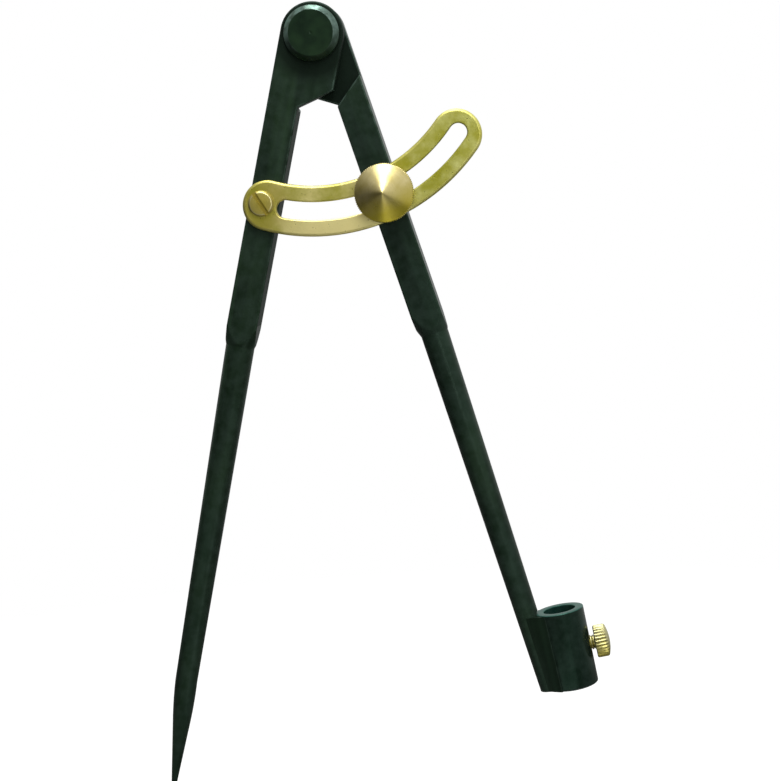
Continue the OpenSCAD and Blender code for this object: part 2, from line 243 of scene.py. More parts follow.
def blackened(
    name, lean, light, dark, shine, roughness,
    rubbing=0.25, rivet_shadow=0.0, cast="c8f2d8", stretch=0.03, painted_tone=PAINTED_SHADE_STEEL,
):
    """Steel in a light and a dark tone of oxide, with drawn lines that lean as its piece does."""
    material, shader, here = new_finish(name, Specular_IOR_Level=shine, Specular_Tint=tint(cast))
    leaning = here.add("ShaderNodeMapping", {}, {"Vector": here, "Rotation": (0, lean, 0)})
    drawn = squeezed(leaning, (1, 1, stretch))
    clouds = noise(here, LEG_CLOUDS, 4.0).fit(0.3, 0.7)
    streaks = noise(drawn, 300, 1.0).fit(0.35, 0.65)
    lines = noise(drawn, 3200, 3.0)
    grain = noise(here, 5200)
    tone = (clouds * 0.3 + streaks * 0.5 + lines * 0.3 + grain * 0.2).fit(0.2, 1.0)
    oiled = noise(here, 24, 1.0).fit(0.45, 0.7) * tone * 0.35
    oxide = oiled.blend(tone.blend(dark, light), OIL)
    rubbed = marked(here, "worn") * noise(here, 420, 3.0).fit(0.3, 0.65) * rubbing
    colour = rubbed.blend(oxide, BARE_STEEL)
    # Painted shade and light: marked faces and the plate below the rivet take the painted tone, near black as
    # shade on the legs and lighter teal as highlight on the tube.
    painted_shade_light = marked(here, "painted_shade_light")
    shadow_below_rivet = distance(here, RIVET_SHADOW_MIDDLE).fit_mm(RIVET_SHADOW_EDGE, RIVET_SHADOW_FULL) * rivet_shadow
    painted_tone_share = painted_shade_light.most(shadow_below_rivet)
    join(shader, Base_Color=(painted_tone_share * 0.8).blend(colour, painted_tone))
    join(shader, Roughness=roughness + clouds * 0.05 + grain * 0.08 + painted_tone_share * 0.35)
    join(shader, Metallic=rubbed, Normal=relief(lines * 0.5 + grain * 0.5, 0.006))
    return material


# %% Five steels
LEG_TONES = ("1c2b20", "0b150d")
TUBE_LINES = HALF_OPEN - TUBE_LEAN
# Only the point leg's plate shows below the rivet, so only it takes the painted shadow.
point_steel = blackened("blackened_point_leg", -HALF_OPEN, *LEG_TONES, 0.16, 0.26, rivet_shadow=1.0)
pencil_steel = blackened("blackened_pencil_leg", HALF_OPEN, *LEG_TONES, 0.16, 0.26)
# The tube's painted tone is lighter teal: a painted highlight on its rim and in its bore.
tube_steel = blackened(
    "blackened_tube", TUBE_LINES, "0d1911", "030805", 0.24, 0.14, cast="9fe6c4", painted_tone="2c7568"
)
braze_metal = blackened("braze_fillet_metal", TUBE_LINES, "1a291e", "0a130c", 0.16, 0.24)
rivet_steel = blackened("blackened_rivet", 0, "122217", "08140b", 0.2, 0.22, rubbing=1.0, stretch=1.0)
steels = (point_steel, pencil_steel, tube_steel, braze_metal, rivet_steel)
print("steels:", ", ".join(steel.name for steel in steels))

# %% [markdown]
# ## Tumbled brass
#
# The wing was stamped from sheet and tumbled with stones, which rounds its
# edges and leaves a soft olive yellow with tiny dark pits. Then it was used. The
# lower arm and the far end are handled most, so they are bright, and sweat and
# oil leave the brass duller round the screw. Towards the right it turns a little
# greener. All of this could be painted on by hand. It is made from distances
# instead, so the wear follows the wing wherever it is swung.

# %% Where the wing is handled
WING_R, WING_T = 45.0, 2.0
WING_FACE = FRONT + WING_T
HOLE_OFFSET = 0.5
HOLE_TURN = math.asin((BAR_MID + HOLE_OFFSET) / WING_R)
screw_spot = Vector((-WING_R * math.sin(HOLE_TURN), -WING_FACE, -WING_R * math.cos(HOLE_TURN)))
screw_place = swing_point @ Matrix.Translation(screw_spot) @ face_front
WING_END = (38.5, -WING_FACE, -25.5)
wing_brass, shader, here = new_finish("tumbled_brass", Metallic=1.0)
from_screw = distance(here, screw_place.translation)
from_end = distance(here, WING_END)
from_hinge = distance(squeezed(here, (1, 0, 1)))
across = along(here, "X")
arm = across.fit_mm(-15, -9.5) * across.fit_mm(26, 14)
below_slot = from_hinge.fit_mm(45.5, 47.5)
handled = arm * (0.16 + below_slot * 0.46) + from_end.fit_mm(11, 4) * 0.1
print("wing screw in mm:", [round(c, 2) for c in screw_place.translation])

# %% Finish: tumbled wing
DULL_BRASS, CLEAR_BRASS, GREEN_BRASS = "a19f16", "f6e9a2", "eef0a6"
TARNISH, EDGE_BRASS, PIT = "98801f", "eae08a", "4a4120"
clouds = noise(here, 190, 3.0).fit(0.32, 0.68)
dabs = noise(here, 900, 3.0)
scuffs = noise(here, 4200)
pits = noise(here, 1900, 1.0).fit(0.72, 0.78)
patches = noise(here, 42).fit(0.36, 0.64)
mottle = 0.05 + patches * 0.2 + clouds * 0.35 + dabs * 0.25 + handled
tone = mottle.fit(0.1, 0.85) * (0.75 + from_screw.fit_mm(4, 14) * 0.25)
clear = across.fit_mm(8, 30).blend(CLEAR_BRASS, GREEN_BRASS)
tarnished = from_screw.fit_mm(9.5, 6) * (0.3 + clouds * 0.7) * 0.4
dulled = tarnished.blend((tone * tone).blend(DULL_BRASS, clear), TARNISH)
bright = (marked(here, "worn") * 0.4).blend(dulled, EDGE_BRASS)
join(shader, Base_Color=(pits * 0.5).blend(bright, PIT))
join(shader, Roughness=0.37 + clouds * 0.06 + scuffs * 0.12 + pits * 0.2)
join(shader, Normal=relief(scuffs * 0.4 + dabs * 0.6 - pits * 1.2, 0.02))
print("finish:", wing_brass.name)

# %% [markdown]
# ## Turned brass
#
# The cone nut, the thumbscrew and the small screw came off a lathe. The tool
# leaves fine rings round each one's own axis, and these rings are what pull the
# light into bright wedges on a cone. A picture of rings would have to be wrapped
# round each piece. Here each finish is told where its axis is, and measures the
# distance from it. The underside of the nut and of the thumbscrew is painted a
# deeper yellow as painted shade, and the screw's slot is darker brown low down.

# %% Finish: turned brass
# UNDERSIDE_SHADE is painted shade: the deeper yellow of a shaded underside.
UNDERSIDE_SHADE, EDGE_SHINE, DIRT = "c9b922", "f2ebc0", "5f4a18"
SCREW_R = 3.3


def turned_brass(name, axis_place, light, dark, roughness, rings, darkening_height=0.0, underside_shade=0.0):
    """Brass with tool rings about the z of axis_place, with painted shade towards its -y, and darker brown low
    down.
    """
    material, shader, here = new_finish(name, Metallic=0.95)
    axis = {"Location": axis_place.translation * MM, "Rotation": axis_place.to_euler()}
    local = here.add("ShaderNodeMapping", {"vector_type": "TEXTURE"}, {"Vector": here, **axis})
    radius = distance(squeezed(local, (1, 1, 0)))
    rings_cut = {"W": radius, "Scale": rings, "Detail": 3.0}
    tool = here.add("ShaderNodeTexNoise", {"noise_dimensions": "1D"}, rings_cut)
    clouds = noise(here, 260, 3.0).fit(0.3, 0.7)
    specks = noise(here, 3600, 1.0).fit(0.68, 0.76)
    clear = (clouds * 0.5 + tool * 0.6).fit(0.2, 0.9).blend(dark, light)
    # Painted shade: towards its underside the brass is tinted a deeper yellow.
    metal = (along(local, "Y").fit_mm(1, -5) * underside_shade).blend(clear, UNDERSIDE_SHADE)
    bright = (marked(here, "worn") * 0.5).blend(metal, EDGE_SHINE)
    dirt = specks
    # Low in the screw's slot the brass turns darker brown.
    if darkening_height:
        low = along(local, "Z").fit_mm(darkening_height, darkening_height - 0.4)
        dirt = specks.most(low * radius.fit_mm(SCREW_R, SCREW_R - 0.2))
    join(shader, Base_Color=(dirt * 0.3).blend(bright, DIRT))
    join(shader, Roughness=roughness + tool * 0.08 + clouds * 0.05 + dirt * 0.2)
    join(shader, Normal=relief(tool - specks, 0.004))
    return material


# %% Three brasses
THUMB_OUT = 7.5
nut_joint = next(joint for joint in frame["joints"] if joint["name"] == "clamp_nut_turn")
nut_place = Matrix.Translation(Vector(nut_joint["pos_m"]) / MM) @ swing_pencil @ face_front
thumb_place = tube_place @ Matrix.Rotation(QUARTER, 4, "Y") @ Matrix.Translation((0, 0, THUMB_OUT))
thumb_upright = thumb_place @ Matrix.Rotation(QUARTER, 4, "Z")
nut_brass = turned_brass("turned_nut_brass", nut_place, "dacc98", "b8a85c", 0.24, 9000, underside_shade=0.8)
screw_brass = turned_brass(
    "turned_screw_brass", screw_place, "c4b450", "9a8c30", 0.32, 5200, darkening_height=0.9
)
thumb_brass = turned_brass("turned_thumb_brass", thumb_upright, "c9c494", "b0ab72", 0.3, 6000, underside_shade=0.8)
print("nut's axis meets its washer at, in mm:", [round(c, 2) for c in nut_place.translation])

# %% [markdown]
# ## Keeping a piece
#
# Every piece is drawn in millimetres at the origin. `keep` moves it to its
# place, turns its faces outward and hands it to the body that carries it. A
# plain bevel modifier could round all of a piece's edges at once, but a real
# piece is rounded only where a stone or a file went. So `soften` rounds chosen
# edges, and marks the rounds so that the finish can wear there. Weighted normals
# let the flat faces stay flat between them.

# %% Helpers that round edges
HALF_WORN = 0.2
BAR_ROUND = 0.45


def fresh():
    """An empty mesh that can remember where its edges are worn and which of its faces take painted shade and
    light.
    """
    bm = bmesh.new()
    bm.verts.layers.float.new("worn")
    bm.faces.layers.float.new("painted_shade_light")
    return bm


def soften(bm, edges, radius, segments=5):
    """Rounds edges, and marks the rounds as worn and their borders as a little worn."""
    worn = bm.verts.layers.float["worn"]
    made = bmesh.ops.bevel(
        bm, geom=edges, offset=radius, offset_type="OFFSET", segments=segments, profile=0.5,
        affect="EDGES", clamp_overlap=False, material=-1,
    )
    rounds = set(made["faces"])
    for vert in {v for face in rounds for v in face.verts}:
        vert[worn] = 1.0 if all(face in rounds for face in vert.link_faces) else HALF_WORN


def sharp_edges(bm, angle=40):
    """The outward edges between faces that meet at more than an angle in degrees."""
    bmesh.ops.recalc_face_normals(bm, faces=bm.faces)
    limit = math.radians(angle)
    pairs = [e for e in bm.edges if len(e.link_faces) == 2]
    return [e for e in pairs if e.calc_face_angle() > limit and e.is_convex]


trial = fresh()
bmesh.ops.create_cube(trial, size=BAR)
soften(trial, sharp_edges(trial), BAR_ROUND)
print("a cube with softened edges has", len(trial.faces), "faces")
trial.free()

# %% A helper that keeps finished pieces
CREASE = math.radians(38)


def keep(bm, name, place, body, finish, node=None):
    """Puts a piece in its place, says what carries it, and hides the measured part it stands for."""
    bmesh.ops.transform(bm, matrix=place, verts=bm.verts)
    bmesh.ops.recalc_face_normals(bm, faces=bm.faces)
    if bm.calc_volume(signed=True) < 0:
        bmesh.ops.reverse_faces(bm, faces=bm.faces)
    bmesh.ops.scale(bm, vec=(MM, MM, MM), verts=bm.verts)
    mesh = bpy.data.meshes.new(name)
    bm.to_mesh(mesh)
    bm.free()
    mesh.shade_smooth()
    mesh.set_sharp_from_angle(angle=CREASE)
    mesh.materials.append(finish)
    piece = bpy.data.objects.new(name, mesh)
    bpy.context.scene.collection.objects.link(piece)
    piece.modifiers.new("flat faces stay flat", "WEIGHTED_NORMAL").keep_sharp = True
    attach(piece, body)
    if node:
        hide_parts(node)
    size = [round(d / MM, 1) for d in piece.dimensions]
    print(name, "has", len(mesh.polygons), "faces and is", size, "mm")


print("creases stay sharp above, in degrees:", round(math.degrees(CREASE)))

# %% [markdown]
# ## The legs
#
# A leg starts as a square bar. Its top is filed to half thickness, rounded over
# the hinge and slanted where it meets the shoulder of the other leg. A cube
# could be cut to this shape, but every cut would leave its own edges to clean
# up. So one outline is drawn, with the round head and the bar as two faces, and
# is pulled to thickness. The bar's face is then pulled on to full thickness, and
# the edges are rounded.

# %% The outline of a leg
LAP_SLANT, LAP_DROP, LAP_GAP = math.radians(35.5), 15.4, 0.5
BAR_LEN, COLLAR_LEN, FOOT_SPARE = 82.5, 6.2, 0.1
COLLAR_START = BAR_LEN - COLLAR_LEN
FOOT = -(COLLAR_START - FOOT_SPARE)
HEAD_STEPS = 72


def lap_edge(x):
    """The height of the slanted lower edge of a half-lap plate."""
    return -(LAP_DROP + x * math.sin(LAP_SLANT)) / math.cos(LAP_SLANT)


def shoulder(x):
    """The height of the shoulder that the other leg's plate meets when the legs close."""
    return -(LAP_DROP + LAP_GAP - x * math.sin(LAP_SLANT)) / math.cos(LAP_SLANT)


def only(kind, geometry):
    """Those of one kind, out of what an operator gives back."""
    return [g for g in geometry if isinstance(g, kind)]


def leg_outline(bm, depth):
    """Draws a leg's flat outline: the plate with its round head, and the bar below the shoulder."""
    start = bm.verts.new((BAR_OUT, depth, 0))
    head = bmesh.ops.spin(
        bm, geom=[start], cent=(0, 0, 0), axis=(0, -1, 0), angle=math.pi, steps=HEAD_STEPS
    )
    end = only(bmesh.types.BMVert, head["geom_last"])[0]
    side = bm.verts.new((-BAR_OUT, depth, lap_edge(-BAR_OUT)))
    notch = bm.verts.new((BAR_IN, depth, lap_edge(BAR_IN)))
    inside, outside = [bm.verts.new((x, depth, shoulder(x))) for x in (BAR_IN, BAR_OUT)]
    foot_in, foot_out = [bm.verts.new((x, depth, FOOT)) for x in (BAR_IN, BAR_OUT)]
    for pair in ((end, side), (side, notch), (notch, inside), (outside, start)):
        bm.edges.new(pair)
    step = bm.edges.new((inside, outside))
    bmesh.ops.contextual_create(bm, geom=bm.edges[:])
    bar = [bm.edges.new(pair) for pair in ((inside, foot_in), (foot_in, foot_out), (foot_out, outside))]
    bmesh.ops.contextual_create(bm, geom=[step] + bar)


print("half-lap edges in mm:", round(lap_edge(0), 2), round(shoulder(0), 2))

# %% From an outline to a bar
HAIR = 0.01
FOOT_CUTS = 19
LAP_END, FLANK_SHADE = -20, 0.6


def pull(bm, faces):
    """Pulls faces out of a solid, and gives back what was pulled, still in place."""
    pulled = bmesh.ops.extrude_face_region(bm, geom=faces)["geom"]
    bmesh.ops.delete(bm, geom=faces, context="FACES")
    return pulled


def mark_painted_shade(bm, lap_depth):
    """Marks the half lap for full painted shade, and the flank that faces the other leg for less of it."""
    painted_shade_light = bm.faces.layers.float["painted_shade_light"]
    for face in bm.faces:
        flank = face.normal.x < -0.95 and face.calc_center_median().z < LAP_END
        face[painted_shade_light] = FLANK_SHADE if flank else 0.0
        if all(abs(v.co.y - lap_depth) < HAIR / 10 for v in face.verts):
            face[painted_shade_light] = 1.0


def leg_bar(outer, inner, far):
    """A leg down to the foot of its bar. The half-lap plate lies between the depths outer and inner."""
    bm = fresh()
    leg_outline(bm, outer)
    slab = bmesh.ops.extrude_face_region(bm, geom=bm.faces[:])["geom"]
    bmesh.ops.translate(bm, vec=(0, inner - outer, 0), verts=only(bmesh.types.BMVert, slab))
    bar = [f for f in only(bmesh.types.BMFace, slab) if min(v.co.z for v in f.verts) < FOOT + HAIR]
    rest = pull(bm, bar)
    bmesh.ops.translate(bm, vec=(0, far - inner, 0), verts=only(bmesh.types.BMVert, rest))
    bmesh.ops.recalc_face_normals(bm, faces=bm.faces)
    bmesh.ops.dissolve_limit(bm, angle_limit=0.001, verts=bm.verts, edges=bm.edges)
    soften(bm, [e for e in sharp_edges(bm) if max(v.co.z for v in e.verts) > FOOT + HAIR], BAR_ROUND)
    mark_painted_shade(bm, inner)
    foot = [e for e in bm.edges if max(v.co.z for v in e.verts) < FOOT + HAIR]
    flats = [e for e in foot if e.calc_length() > BAR / 4]
    bmesh.ops.subdivide_edges(bm, edges=flats, cuts=FOOT_CUTS)
    return bm


print("bars are", BAR, "mm square, with edges rounded by", BAR_ROUND, "mm")

# %% [markdown]
# ## From square to round
#
# Lower down the bar is turned round, and the tool runs out through the square
# corners, which leaves a curved scallop on each flat. Cutting a cone out of the
# bar would give the same curve, with thin slivers along it. Here the foot is
# drawn down ring by ring. Where a ring is smaller than the square, the corners
# are cut back to it, and the scallops come out by themselves.

# %% Drawing down a leg
PENCIL_SHIFT = 0.25
CORNER_R = math.hypot(BAR / 2 + PENCIL_SHIFT, BAR / 2)
COLLAR_RINGS = 28


def draw_down(bm, middle, stations):
    """Draws the bar's foot down through rings, each a drop, an outward centre and a radius."""
    bmesh.ops.recalc_face_normals(bm, faces=bm.faces)
    square = {}
    foot = [f for f in bm.faces if max(v.co.z for v in f.verts) < FOOT + HAIR]
    for vert in {v for face in foot for v in face.verts}:
        reach = Vector((vert.co.x - middle, vert.co.y))
        square[round(math.atan2(reach.y, reach.x), 4)] = reach.length
    turns = sorted(square)
    centre = middle
    for drop, next_centre, radius in stations:
        ring = pull(bm, foot)
        for vert in only(bmesh.types.BMVert, ring):
            turn = math.atan2(vert.co.y, vert.co.x - centre)
            nearest = min(turns, key=lambda t: abs(t - turn))
            size = min(square[nearest], radius)
            vert.co = (next_centre + size * math.cos(nearest), size * math.sin(nearest), -drop)
        foot = only(bmesh.types.BMFace, ring)
        centre = next_centre


def taper(start, end, rings):
    """Rings at even steps from one station to another, without the first."""
    return [Vector(start).lerp(Vector(end), i / rings) for i in range(1, rings + 1)]


def collar(middle, round_r):
    """Rings from the square bar to the round leg, as the cone cuts deeper."""
    start = (COLLAR_START, middle, CORNER_R)
    return [start] + taper(start, (BAR_LEN, middle, round_r), COLLAR_RINGS)


print("the square's corners are", round(CORNER_R, 2), "mm from the round leg's axis")

# %% [markdown]
# ## The leg with the point
#
# Below its collar the leg tapers to the point, which is ground on a wheel with
# a rounded shoulder and then a straight cone. The point could be a piece of its
# own, but the real one is the end of the same bar. So the same drawing down goes
# on, with the rings closer together where the shoulder curves.

# %% Piece: point leg
PLATE_HALF_GAP = 0.03
POINT_LEG_R, POINT_LEG_LEAN, POINT_LEG_RINGS = 3.775, math.radians(1.2), 12
POINT_START, POINT_LEN, POINT_R, TIP_R, SHOULDER_LEN = 173.8, 35, 2.95, 0.12, 11
POINT_SLOPE = (POINT_R - TIP_R) / (POINT_LEN - SHOULDER_LEN / 2)
point_out = BAR_MID - (POINT_START - BAR_LEN) * math.tan(POINT_LEG_LEAN)
point_lean = math.asin(point_out / POINT_LEN)


def point_at(s):
    """The ring at a distance along the point: a rounded shoulder, then a straight cone."""
    ground_off = s * s / (2 * SHOULDER_LEN) if s < SHOULDER_LEN else s - SHOULDER_LEN / 2
    centre = point_out - s * math.sin(point_lean)
    return POINT_START + s * math.cos(point_lean), centre, POINT_R - POINT_SLOPE * ground_off


shoulder_steps = [1 + 1.5 * i for i in range(7)] + [SHOULDER_LEN]
cone_steps = [14 + 4 * i for i in range(5)] + [33, 34.6, POINT_LEN]
point_leg = leg_bar(-FRONT, -PLATE_HALF_GAP, FRONT)
root = (BAR_LEN, BAR_MID, POINT_LEG_R)
tapered = taper(root, (POINT_START, point_out, POINT_R), POINT_LEG_RINGS)
ground = [point_at(s) for s in shoulder_steps + cone_steps]
draw_down(point_leg, BAR_MID, collar(BAR_MID, POINT_LEG_R) + tapered + ground)
keep(point_leg, "forged_point_leg", point_side, "point_side", point_steel, "point_leg")

# %% [markdown]
# ## The leg with the tube
#
# The other leg is filed hollow at its lower end so that the tube sits in it,
# and both are trimmed to one level. A boolean cut would leave a knife edge along
# the hollow. Here the points of the leg that fall inside the tube's wall are
# pushed back to just under the tube's skin, which no one can tell from a close
# fit.

# %% Drawing the pencil leg
SLIDE_GAP = 0.06
PENCIL_LEG_MID = BAR_MID + PENCIL_SHIFT
PENCIL_LEG_R, PENCIL_END_R, PENCIL_LEG_LEN = 3.6, 2.8, 100.2
PENCIL_LEG_LEAN = math.radians(0.95)
LEG_RINGS, HOLLOW_RINGS, HOLLOW_STEP, HOLLOW_START = 9, 33, 1.1, 152.5


def pencil_leg_at(drop):
    """The ring of the pencil leg at a drop from the hinge."""
    below = drop - BAR_LEN
    centre = PENCIL_LEG_MID - below * math.tan(PENCIL_LEG_LEAN)
    return drop, centre, PENCIL_LEG_R + (PENCIL_END_R - PENCIL_LEG_R) * below / PENCIL_LEG_LEN


drops = [BAR_LEN + (HOLLOW_START - BAR_LEN) * i / LEG_RINGS for i in range(1, LEG_RINGS + 1)]
drops += [HOLLOW_START + HOLLOW_STEP * i for i in range(1, HOLLOW_RINGS + 1)]
pencil_leg = leg_bar(FRONT, PLATE_HALF_GAP, -(FRONT - SLIDE_GAP))
rings = collar(PENCIL_LEG_MID, PENCIL_LEG_R) + [pencil_leg_at(drop) for drop in drops]
draw_down(pencil_leg, PENCIL_LEG_MID, rings)
print("the pencil leg goes down through", len(rings), "rings")

# %% Piece: pencil leg
TUBE_R, BORE_R, TUBE_HALF = 6.35, 4.2, 10.3
UNDER_SKIN, ABOVE_MOUTH = 0.2, 0.7
out_of_tube = swing_pencil.inverted() @ tube_place
into_tube = out_of_tube.inverted()
trimmed = bmesh.ops.bisect_plane(
    pencil_leg, geom=pencil_leg.verts[:] + pencil_leg.edges[:] + pencil_leg.faces[:],
    plane_co=out_of_tube @ Vector((0, 0, -TUBE_HALF)),
    plane_no=out_of_tube.to_3x3() @ Vector((0, 0, -1)), clear_outer=True,
)
bmesh.ops.edgeloop_fill(pencil_leg, edges=only(bmesh.types.BMEdge, trimmed["geom_cut"]))
for vert in pencil_leg.verts:
    spot = into_tube @ vert.co
    away = Vector((spot.x, spot.y))
    if away.length < TUBE_R - UNDER_SKIN and spot.z < TUBE_HALF + ABOVE_MOUTH:
        away.length = TUBE_R - UNDER_SKIN
        vert.co = out_of_tube @ Vector((away.x, away.y, spot.z))
keep(
    pencil_leg, "forged_pencil_leg", swing_pencil, "pencil_side", pencil_steel, "pencil_leg"
)

# %% [markdown]
# ## Turning
#
# A turned piece is half of its section, swung right round. Stacked cylinders and
# cones would do for a screw, but not for a cone with tool rings, and a section
# also names every corner. `turned` takes the section as radius and height, and
# `corner` finds the edges that the lathe tool broke. Holes and slots are cut
# out afterwards, as on the bench.


# %% A lathe
def turned(section, steps=128, closed=False):
    """Swings a section of radius and height right round the upright axis."""
    bm = fresh()
    verts = [bm.verts.new((r, 0, h)) for r, h in section]
    pairs = list(zip(verts, verts[1:])) + ([(verts[-1], verts[0])] if closed else [])
    edges = [bm.edges.new(pair) for pair in pairs]
    bmesh.ops.spin(
        bm, geom=verts + edges, cent=(0, 0, 0), axis=(0, 0, 1), angle=2 * math.pi, steps=steps,
        use_merge=True,
    )
    bmesh.ops.remove_doubles(bm, verts=bm.verts, dist=0.0005)
    bmesh.ops.recalc_face_normals(bm, faces=bm.faces)
    return bm


def corner(bm, radius, height):
    """The edges that run round a turned piece at one corner of its section."""
    def near(v):
        return abs(v.co.xy.length - radius) < HAIR and abs(v.co.z - height) < HAIR

    return [e for e in bm.edges if near(e.verts[0]) and near(e.verts[1])]


trial = turned([(0, 0), (1, 0), (1, 1), (0, 1)])
print("a turned disc has", len(trial.faces), "faces, and at a corner", len(corner(trial, 1, 1)), "edges")
trial.free()


# %% A cutter for holes and slots
def cut_from(bm, cutter):
    """Takes one solid out of another and gives back the mesh that is left."""
    solids = []
    for source in (bm, cutter):
        bmesh.ops.recalc_face_normals(source, faces=source.faces)
        mesh = bpy.data.meshes.new("blank")
        source.to_mesh(mesh)
        source.free()
        solids.append(bpy.data.objects.new("blank", mesh))
        bpy.context.scene.collection.objects.link(solids[-1])
    tool = solids[0].modifiers.new("cut", "BOOLEAN")
    tool.operation, tool.object, tool.solver = "DIFFERENCE", solids[1], "EXACT"
    left = solids[0].evaluated_get(bpy.context.evaluated_depsgraph_get())
    cut = bmesh.new()
    cut.from_mesh(left.to_mesh())
    for solid in solids:
        bpy.data.objects.remove(solid)
    print("a cut left", len(cut.faces), "faces")
    return cut


# %% [markdown]
# ## The tube
#
# The tube is a short length of thick pipe with a threaded hole for the
# thumbscrew. It could be a cylinder with a wall added by a modifier, but its
# foot is rounded more than its mouth, so its section is turned. The rim and the
# bore are painted a lighter teal, a painted highlight for the light they catch.

# %% Piece: tube
FOOT_ROUND, MOUTH_ROUND = 0.5, 0.22
RIM_LIGHT, BORE_LIGHT = 0.32, 0.15
THREAD_HOLE_R, DRILL_LEN, DRILL_OUT = 2.0, 8, 6
wall = [(BORE_R, -TUBE_HALF), (TUBE_R, -TUBE_HALF), (TUBE_R, TUBE_HALF), (BORE_R, TUBE_HALF)]
tube = turned(wall, closed=True)
soften(tube, corner(tube, TUBE_R, -TUBE_HALF), FOOT_ROUND)
mouth_edges = corner(tube, TUBE_R, TUBE_HALF) + corner(tube, BORE_R, TUBE_HALF)
soften(tube, mouth_edges + corner(tube, BORE_R, -TUBE_HALF), MOUTH_ROUND, 4)
drill = bmesh.new()
bmesh.ops.create_cone(
    drill, cap_ends=True, segments=48, radius1=THREAD_HOLE_R, radius2=THREAD_HOLE_R, depth=DRILL_LEN,
    matrix=Matrix.Translation((DRILL_OUT, 0, 0)) @ Matrix.Rotation(QUARTER, 4, "Y"),
)
tube = cut_from(tube, drill)
# Painted highlight: the rim and the bore take a share of the tube's lighter teal.
painted_shade_light = tube.faces.layers.float["painted_shade_light"]
for face in tube.faces:
    middle = face.calc_center_median()
    bore = middle.xy.length < BORE_R + 0.1
    face[painted_shade_light] = RIM_LIGHT if middle.z > TUBE_HALF - 0.25 else BORE_LIGHT if bore else 0.0
keep(tube, "brazed_tube", tube_place, "pencil_side", tube_steel, "pencil_socket")

# %% [markdown]
# ## The braze
#
# Brazing fills the valley between tube and leg on both sides with a smooth
# hollow of filler, which ends on the tube in a thin lip. The pieces could be
# melted together with a remesh, but that would blur every edge near by. So the
# filler is a piece of its own. One section is drawn at the top of the tube and
# one at the bottom, each a hollow curve outside and a few hidden points inside,
# and the two are bridged.

# %% A section through the braze
TUBE_DROP = -out_of_tube.translation.z
LEG_SIDE = math.radians(-20)
TUBE_SIDE, TUBE_SIDE_TWIST = -34.6, -0.32
LIP_R = TUBE_R + 0.08
LEG_PULL, TUBE_PULL, CURVE_POINTS = 1.5, 1.9, 13


def braze_section(level):
    """The braze at one level of the tube: a hollow curve from leg to tube, and back inside them."""
    drop, leg_mid, leg_r = pencil_leg_at(TUBE_DROP - level)
    axis = into_tube @ Vector((leg_mid, 0, -drop))
    tube_side = math.radians(TUBE_SIDE + TUBE_SIDE_TWIST * level)
    on_leg = Vector((axis.x + leg_r * math.sin(LEG_SIDE), -leg_r * math.cos(LEG_SIDE), level))
    on_tube = Vector((LIP_R * math.sin(tube_side), -LIP_R * math.cos(tube_side), level))
    off_leg = on_leg + LEG_PULL * Vector((math.cos(LEG_SIDE), math.sin(LEG_SIDE), 0))
    off_tube = on_tube - TUBE_PULL * Vector((math.cos(tube_side), math.sin(tube_side), 0))
    hollow = interpolate_bezier(on_leg, off_leg, off_tube, on_tube, CURVE_POINTS)
    inside = (on_tube * 0.92, Vector((axis.x + 1.2, -1.4, 0)), Vector((axis.x - 0.3, -0.75 * leg_r, 0)))
    return hollow + [Vector((spot.x, spot.y, level)) for spot in inside]


print("the braze's section has", len(braze_section(0)), "points")

# %% Piece: braze
BRAZE_TOP, LIP_ROUND = TUBE_HALF - 0.2, 0.12
braze = fresh()
for side in (-1, 1):
    loops = []
    for level in (BRAZE_TOP, -TUBE_HALF):
        verts = [braze.verts.new((spot.x, side * spot.y, spot.z)) for spot in braze_section(level)]
        loops.append([braze.edges.new(pair) for pair in zip(verts, verts[1:] + verts[:1])])
    bmesh.ops.bridge_loops(braze, edges=loops[0] + loops[1])
    for loop in loops:
        bmesh.ops.edgeloop_fill(braze, edges=loop)
long_edges = [e for e in sharp_edges(braze, 60) if e.calc_length() > TUBE_HALF / 2]
lip = [e for e in long_edges if all(v.co.xy.length > LIP_R - 0.03 for v in e.verts)]
soften(braze, lip, LIP_ROUND, 3)
keep(braze, "braze_fillet", tube_place, "pencil_side", braze_metal)

# %% [markdown]
# ## The rivet
#
# The rivet's head was turned with a wide chamfer and faced flat, which leaves a
# small centre mark. Its tail was set over a burr at the back. The shank is out
# of sight between them, so only the two ends are turned. The chamfer is rubbed
# bare, and its mark grows with height as a painted highlight: the top of the
# chamfer is painted lighter, where the light from above falls, and the bottom
# stays dark.

# %% Piece: rivet
SUNK = 0.02
RIVET_R, RIVET_FLAT_R, RIVET_EDGE, RIVET_H = 7.1, 5.9, 1.0, 2.6
TAIL_R, TAIL_FLAT_R, TAIL_BASE, TAIL_EDGE, TAIL_END = 4.3, 3.0, -5.44, -6.01, -6.56
EDGE_ROUND, FLAT_ROUND, TAIL_ROUND = 0.2, 0.18, 0.3
LEAST_RUB_AND_LIGHT, MIDDLE_RUB_AND_LIGHT, RUB_AND_LIGHT_REACH = 0.05, 0.6, 9
centre_mark = [(0.55, RIVET_H), (0.3, RIVET_H - 0.15), (0, RIVET_H - 0.18)]
head = [(0, -SUNK), (RIVET_R, -SUNK), (RIVET_R, RIVET_EDGE), (RIVET_FLAT_R, RIVET_H)]
rivet = turned(head + centre_mark)
soften(rivet, corner(rivet, RIVET_R, RIVET_EDGE), EDGE_ROUND, 4)
soften(rivet, corner(rivet, RIVET_FLAT_R, RIVET_H), FLAT_ROUND, 4)
worn = rivet.verts.layers.float["worn"]
